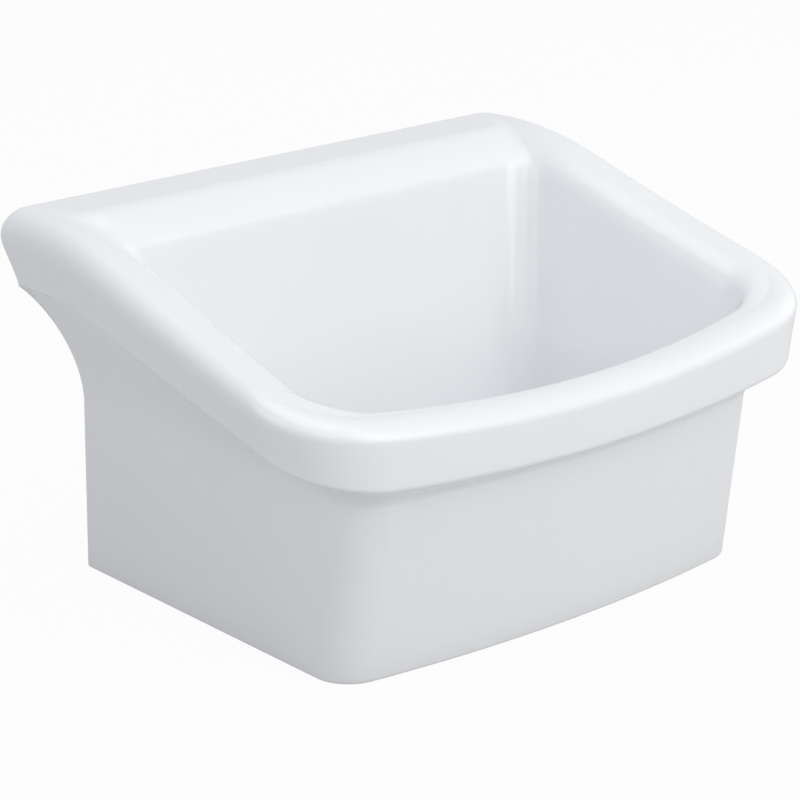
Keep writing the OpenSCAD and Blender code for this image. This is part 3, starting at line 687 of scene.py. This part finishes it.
# ---------------------------------------------------------------------------------------------
# Seals and washer. A thin rubber ring seals the flange in its recess, a thick one seals the tail
# from below, and a slippery nylon washer lets the nut turn without dragging the thick ring.
gasket_t, slip_washer_t = 4.5, 1.5
gasket_z = hollow_h - gasket_t
washer_z = gasket_z - slip_washer_t


def flat_ring(name, z, thickness, bulge):
    """A ring round the tail, as wide as the flange, with a rounded outer side."""
    inner_r = waste_r + fit_gap
    outer_r = flange_r - bulge
    side = [(outer_r + bulge * math.cos(math.radians(a)),
             z + thickness / 2 * (1 + math.sin(math.radians(a))))
            for a in range(-90, 91, 18)]
    return turned(name, [(inner_r, z)] + side + [(inner_r, z + thickness)])


# black rubber: dull and dusty, with a faint grain from its mould
rubber = Finish("black_rubber")
bloom = rubber.noise(70.0, 5.0, 0.65)
rubber.set(
    Base_Color=rubber.mix(bloom, (0.016, 0.016, 0.017, 1), (0.050, 0.049, 0.047, 1)),
    Roughness=0.62 + bloom * 0.25,
    Normal=rubber.bump(rubber.noise(1300.0, 2.0), 0.25, 0.0003),
)
# white nylon: milky, with a satin surface
nylon = Finish("white_nylon")
milk = nylon.noise(60.0, 3.0)
nylon.set(
    Base_Color=nylon.mix(milk, (0.74, 0.73, 0.69, 1), (0.80, 0.79, 0.76, 1)),
    Roughness=0.38 + milk * 0.15,
    Normal=nylon.bump(nylon.noise(900.0, 2.0), 0.12, 0.0002),
)
for name, node, z, thickness, bulge, finish, slot in (
        ("upper_seal", "flange_seal", recess_z, seal_t, 0.5, rubber, "rubber"),
        ("lower_gasket", "under_gasket", gasket_z, gasket_t, 1.2, rubber, "rubber"),
        ("sliding_washer", "slip_washer", washer_z, slip_washer_t, 0.4, nylon, "nylon")):
    ring = finished(flat_ring(name, z, thickness, bulge), finish, 0.15, 2)
    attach(ring, "sink")
    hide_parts(node)


# ---------------------------------------------------------------------------------------------
# Locking nut. A flat hexagon of chromium-plated brass with its corners turned down on both
# sides. It runs on the tail's threads and clamps the seals against the china.
nut_t, nut_af, nut_sides, nut_lead = 9.0, 78.0, 6, 1.2
corner_cut, corner_cut_in = math.radians(20.0), 0.6
nut_z = washer_z - nut_t
nut_corner_r = nut_af / 2 / math.cos(math.pi / nut_sides)
nut = rod(nut_sides, nut_corner_r, nut_t, (0, waste_axis_y, nut_z + nut_t / 2),
          (0, 0, math.pi / nut_sides))
nut.name = "back_nut"
nut_top = nut_z + nut_t
turned_r = nut_af / 2 - corner_cut_in
corner_drop = (nut_corner_r - turned_r) * math.tan(corner_cut)
past_r = turned_r - past / math.tan(corner_cut)
cut_with(nut, turned("corner_turning", [
    (0, nut_z - past), (past_r, nut_z - past), (nut_corner_r, nut_z + corner_drop),
    (nut_corner_r, nut_top - corner_drop), (past_r, nut_top + past),
    (0, nut_top + past)], 192, solid_core=True), "INTERSECT")
bore_r, lead_r = waste_r + fit_gap, waste_r + nut_lead
cut_with(nut, turned("nut_bore", [
    (0, nut_z - past), (lead_r, nut_z - past), (lead_r, nut_z), (bore_r, nut_z + nut_lead),
    (bore_r, nut_top - nut_lead), (lead_r, nut_top), (lead_r, nut_top + past),
    (0, nut_top + past)], 96, solid_core=True))
finished(nut, chrome, 0.3, 3, 15.0)
# its broad faces stay flat to the light
flat = nut.modifiers.new("flat_faces", "WEIGHTED_NORMAL")
flat.keep_sharp = True
bpy.ops.object.modifier_apply(modifier="flat_faces")
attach(nut, "sink")
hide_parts("locking_nut")


# ---------------------------------------------------------------------------------------------
# Strainer basket. A shallow cup pressed from thin sheet, chromium plated, with a flat rim that
# lies loose in the waste's flange. Two rings of small holes are punched in its floor.
strainer_t, cup_r, cup_depth, floor_hole_r = 1.2, 23.0, 16.0, 2.0
outer_hole_n, inner_hole_n, rivet_r = 14, 8, 1.6
cup_bottom_z = floor_z - cup_depth
cup_floor_z = cup_bottom_z + strainer_t
outer_hole_at = cup_r - strainer_t - 2 * floor_hole_r
inner_hole_at = outer_hole_at - 3.5 * floor_hole_r
foot_bend_r, rim_bend_r = 3.2, 1.8


def arc(r, z, radius, start, end, steps=6):
    """Points of an arc round (r, z); angles run from the outward direction towards up."""
    return [(r + radius * math.cos(math.radians(start + (end - start) * i / steps)),
             z + radius * math.sin(math.radians(start + (end - start) * i / steps)))
            for i in range(steps + 1)]


foot_bend = (cup_r - foot_bend_r, cup_bottom_z + foot_bend_r)
rim_bend = (cup_r + rim_bend_r - strainer_t, floor_z - rim_bend_r)
cup = [(rivet_r + fit_gap, cup_bottom_z)]
cup += arc(*foot_bend, foot_bend_r, -90, 0)
cup += arc(*rim_bend, rim_bend_r - strainer_t, 180, 90, 3)
cup += arc(strainer_rim_r - strainer_t / 2, floor_z - strainer_t / 2, strainer_t / 2, -90, 90)
cup += arc(*rim_bend, rim_bend_r, 90, 180)
cup += arc(*foot_bend, foot_bend_r - strainer_t, 0, -90)
cup += [(rivet_r + fit_gap, cup_floor_z)]
basket = turned("strainer_cup", cup, 144)
for count, ring_r in ((outer_hole_n, outer_hole_at), (inner_hole_n, inner_hole_at)):
    for i in range(count):
        angle = 2 * math.pi * i / count
        cut_with(basket, rod(32, floor_hole_r, 4 * strainer_t, (
            ring_r * math.cos(angle), waste_axis_y + ring_r * math.sin(angle),
            cup_bottom_z + strainer_t / 2)))
finished(basket, chrome, 0.12, 2, 50.0)
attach(basket, "strainer")
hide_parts("strainer_basket")


# ---------------------------------------------------------------------------------------------
# Knob and rivet. The strainer is lifted by a small turned knob on a thin stem, chromium plated;
# a steel rivet with a low round head comes up through the cup's floor and holds it.
stem_r, stem_h, knob_r, knob_h = 3.2, 12.0, 8.0, 9.0
knob_edge, knob_dish, groove, neck_r = 2.0, 0.5, 0.4, 1.5
rivet_grip, rivet_head_r, rivet_head_t, rivet_tip = 8.0, 3.4, 1.0, 0.4
knob_low, knob_top = cup_floor_z + stem_h, cup_floor_z + stem_h + knob_h
knob_outline = [(0, cup_floor_z + rivet_grip), (rivet_r + fit_gap, cup_floor_z + rivet_grip),
                (rivet_r + fit_gap, cup_floor_z), (stem_r, cup_floor_z)]
knob_outline += arc(stem_r + neck_r, knob_low - neck_r, neck_r, 180, 90, 5)
knob_outline += arc(knob_r - knob_edge / 2, knob_low + knob_edge / 2, knob_edge / 2, -90, 0, 5)
for groove_z in (knob_low + 3.0, knob_low + 4.6):
    knob_outline += [(knob_r, groove_z - groove), (knob_r - groove, groove_z),
                     (knob_r, groove_z + groove)]
knob_outline += arc(knob_r - knob_edge, knob_top - knob_edge, knob_edge, 0, 90, 7)
knob_outline += [(knob_r - 1.4 * knob_edge, knob_top),
                 (knob_r - 1.9 * knob_edge, knob_top - knob_dish), (0, knob_top - knob_dish)]
knob = finished(turned("lifting_knob", knob_outline, 72, solid_core=True), chrome, 0.12, 2, 50.0)
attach(knob, "strainer")
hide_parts("strainer_knob")

# plain steel: grey, finely grained, with a few dull spots
steel = Finish("zinc_plated_steel")
spangle = steel.node("ShaderNodeTexVoronoi", {}, {"Vector": steel.place, "Scale": 420.0})
dull = steel.noise(38.0, 5.0, 0.6)
steel.set(
    Base_Color=steel.mix(dull, (0.36, 0.37, 0.38, 1), (0.52, 0.53, 0.545, 1)),
    Metallic=1.0,
    Roughness=0.30 + dull * 0.18 + spangle * 0.10,
    Normal=steel.bump(steel.noise(650.0, 3.0), 0.10, 0.0003),
)
rivet_top = cup_floor_z + rivet_grip - fit_gap
rivet_outline = [(0, cup_bottom_z - rivet_head_t)]
rivet_outline += [(rivet_head_r * math.sin(math.radians(a)),
                   cup_bottom_z - rivet_head_t * math.cos(math.radians(a)))
                  for a in range(15, 91, 15)]
rivet_outline += [(rivet_r, cup_bottom_z), (rivet_r, rivet_top - rivet_tip),
                  (rivet_r - rivet_tip, rivet_top), (0, rivet_top)]
rivet = finished(turned("knob_pin", rivet_outline, 48, solid_core=True), steel, 0.0)
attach(rivet, "strainer")
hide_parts("knob_rivet")


# ---------------------------------------------------------------------------------------------
# Wall brackets. Two strips of zinc-plated steel are screwed to the wall through two holes each,
# and bent forward and up at the foot into a hook that reaches through the china's back.
hanger_t, hook_h, hook_y, bend_r, plate_corner_r = 3.5, 24.0, 21.0, 3.0, 6.0
screw_pitch, screw_hole_r = 22.0, 4.5
hook_length, bend_out = hook_y + hanger_t, bend_r + hanger_t
side = [(0.0, hanger_h), (0.0, bend_out)]
side += [(-bend_out + a, bend_out + b) for a, b in arc(0, 0, bend_out, 0, -90)]
side += [(bend_out - hook_length + a, bend_out + b) for a, b in arc(0, 0, bend_out, -90, -180)]
side += [(-hook_length, hook_h), (hanger_t - hook_length, hook_h)]
side += [(bend_out - hook_length + a, bend_out + b) for a, b in arc(0, 0, bend_r, 180, 270)]
side += [(-bend_out + a, bend_out + b) for a, b in arc(0, 0, bend_r, -90, 0)]
side += [(-hanger_t, hanger_h)]
front_view = [(-hanger_w / 2, -past), (hanger_w / 2, -past)]
front_view += arc(hanger_w / 2 - plate_corner_r, hanger_h - plate_corner_r, plate_corner_r, 0, 90)
front_view += arc(plate_corner_r - hanger_w / 2, hanger_h - plate_corner_r, plate_corner_r, 90, 180)
screw_middle = hanger_z + (hook_h + hanger_h) / 2
for name, node, x in (("bracket_left", "hanger_left", -hanger_x),
                      ("bracket_right", "hanger_right", hanger_x)):
    bracket = prism(name, [(y, z + hanger_z) for y, z in side], "YZ", x - hanger_w / 2, hanger_w)
    cut_with(bracket, prism("plate_corners", [(a + x, b + hanger_z) for a, b in front_view], "XZ",
                            -hook_length - past, hook_length + 2 * past), "INTERSECT")
    for z in (screw_middle - screw_pitch / 2, screw_middle + screw_pitch / 2):
        cut_with(bracket, rod(48, screw_hole_r, 4 * hanger_t, (x, WALL, z), (math.pi / 2, 0, 0)))
    finished(bracket, steel, 0.45, 3)
    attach(bracket, "sink")
    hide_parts(node)


# ---------------------------------------------------------------------------------------------
# Cushions. A strip of black rubber, laid loose along each bracket's arm, keeps the china off the
# steel; its upper face is ribbed by the mould and its edges are round.
cushion_t, cushion_rib, rib_height = 2.0, 1.6, 0.35
arm_length = hook_length - 2 * bend_out
rib_count = int(arm_length / cushion_rib)
rib_w = arm_length / rib_count
cushion_low = hanger_z + hanger_t
cushion_top = cushion_low + cushion_t
ribbed = [(-bend_out, cushion_low), (bend_out - hook_length, cushion_low)]
for i in range(rib_count):
    at = bend_out - hook_length + rib_w * i
    ribbed += [(at + 0.05, cushion_top - rib_height), (at + 0.2 * rib_w, cushion_top),
               (at + 0.8 * rib_w, cushion_top)]
ribbed += [(-bend_out, cushion_top - rib_height)]
for name, node, x in (("cushion_left", "hanger_cushion_left", -hanger_x),
                      ("cushion_right", "hanger_cushion_right", hanger_x)):
    cushion = prism(name, ribbed[::-1], "YZ", x - hanger_w / 2, hanger_w)
    finished(cushion, rubber, 0.12, 2, 50.0)
    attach(cushion, "sink")
    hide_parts(node)


# ---------------------------------------------------------------------------------------------
# Fixing sleeves. A nylon bush stands in each lower hole of the back, with its collar inside the
# hollow, and guides a screw through the china without touching it.
sleeve_flange_r, sleeve_flange_t, sleeve_hole_r = 13.0, 2.5, 4.5
small_break, collar_break, nose, nose_in = 0.3, 1.0, 0.8, 0.5
sleeve_end = back_wall_t + sleeve_flange_t
bush = [(sleeve_hole_r, side_gap + small_break), (sleeve_hole_r + small_break, side_gap),
        (sleeve_r - nose_in, side_gap), (sleeve_r, side_gap + nose), (sleeve_r, back_wall_t),
        (sleeve_flange_r - small_break, back_wall_t),
        (sleeve_flange_r, back_wall_t + small_break),
        (sleeve_flange_r, sleeve_end - collar_break),
        (sleeve_flange_r - collar_break, sleeve_end),
        (sleeve_hole_r + collar_break, sleeve_end), (sleeve_hole_r, sleeve_end - collar_break)]
for name, node, x in (("bush_left", "fixing_sleeve_left", -fixing_x),
                      ("bush_right", "fixing_sleeve_right", fixing_x)):
    sleeve = turned(name, bush, 64)
    # turned upright round the waste's axis, then laid down with its mouth at the wall
    for vertex in sleeve.data.vertices:
        a, b, along = vertex.co.x, vertex.co.y - waste_axis_y * MM, vertex.co.z
        vertex.co = Vector((x * MM + a, WALL * MM - along, fixing_z * MM + b))
    finished(sleeve, nylon, 0.15, 2, 50.0)
    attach(sleeve, "sink")
    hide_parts(node)


# ---------------------------------------------------------------------------------------------
# Floor and light of the studio: a white floor under soft lamps from the front, the sides and
# above, and an even sky. Seen by the camera or in a reflection, what lies behind is plain white.
floor_white, floor_in_gloss, floor_low = 0.96, 0.4, -0.0005
stage_finish = Finish("studio_floor")
stage_finish.set(Base_Color=(0.62, 0.62, 0.62, 1), Roughness=0.9)
stage_finish.shader.inputs["Specular IOR Level"].default_value = 0.0
path = stage_finish.tree.nodes.new("ShaderNodeLightPath")
seen_floor = Value(stage_finish, path.outputs["Is Camera Ray"])
in_gloss = Value(stage_finish, path.outputs["Is Glossy Ray"]) * floor_in_gloss
seen_floor = seen_floor.maths("MAXIMUM", in_gloss)
seen_floor = seen_floor.maths("MAXIMUM", Value(stage_finish, path.outputs["Is Transmission Ray"]))
plain_white = stage_finish.node("ShaderNodeEmission", {}, {"Strength": 1.0})
shown = stage_finish.node("ShaderNodeMixShader", {}, {
    0: seen_floor * floor_white, 1: Value(stage_finish, stage_finish.shader.outputs[0]),
    2: plain_white})
stage_finish.feed(stage_finish.tree.nodes["Material Output"].inputs["Surface"], shown)
bpy.ops.object.select_all(action="DESELECT")
bpy.ops.mesh.primitive_plane_add(size=30.0, location=(0, 0, floor_low))
floor = bpy.context.object
floor.name = "studio_floor"
floor.data.materials.append(stage_finish.material)

bpy.context.scene.view_settings.view_transform = "Standard"
world = bpy.context.scene.world or bpy.data.worlds.new("studio")
bpy.context.scene.world = world
world.use_nodes = True
nodes, links = world.node_tree.nodes, world.node_tree.links
nodes.clear()
path = nodes.new("ShaderNodeLightPath")
sky = nodes.new("ShaderNodeBackground")
sky.inputs["Color"].default_value = (0.88, 0.90, 1.0, 1)
sky.inputs["Strength"].default_value = 0.375
white = nodes.new("ShaderNodeBackground")
white.inputs["Strength"].default_value = 1.0
seen = path.outputs["Is Camera Ray"]
for kind in ("Is Glossy Ray", "Is Transmission Ray"):
    either = nodes.new("ShaderNodeMath")
    either.operation = "MAXIMUM"
    links.new(seen, either.inputs[0])
    links.new(path.outputs[kind], either.inputs[1])
    seen = either.outputs[0]
pick = nodes.new("ShaderNodeMixShader")
links.new(seen, pick.inputs[0])
links.new(sky.outputs[0], pick.inputs[1])
links.new(white.outputs[0], pick.inputs[2])
links.new(pick.outputs[0], nodes.new("ShaderNodeOutputWorld").inputs[0])


sink_middle = Vector((0, 0, 0.15))


def lamp(name, place, size, power, colour):
    """A square soft lamp that shines on the sink's middle."""
    bpy.ops.object.select_all(action="DESELECT")
    bpy.ops.object.light_add(type="AREA", location=place)
    soft = bpy.context.object
    soft.name = name
    soft.data.size = size
    soft.data.energy = power
    soft.data.color = colour
    soft.rotation_euler = (sink_middle - Vector(place)).to_track_quat("-Z", "Y").to_euler()


lamp("front_lamp", (0.8, -3.2, 1.3), 2.0, 26.0, (1.0, 0.99, 0.945))
lamp("high_front_lamp", (1.2, -2.6, 2.6), 2.2, 25.5, (1.0, 0.995, 0.96))
lamp("camera_side_lamp", (-1.6, -2.2, 1.7), 1.6, 9.0, (1.0, 1.0, 0.97))
lamp("right_lamp", (3.0, -0.6, 1.4), 2.2, 14.0, (0.96, 0.99, 1.0))
lamp("left_lamp", (-3.0, 0.3, 1.4), 2.2, 20.5, (0.99, 1.0, 0.98))
lamp("top_lamp", (0.0, -0.3, 3.2), 2.5, 29.0, (0.97, 1.0, 0.985))
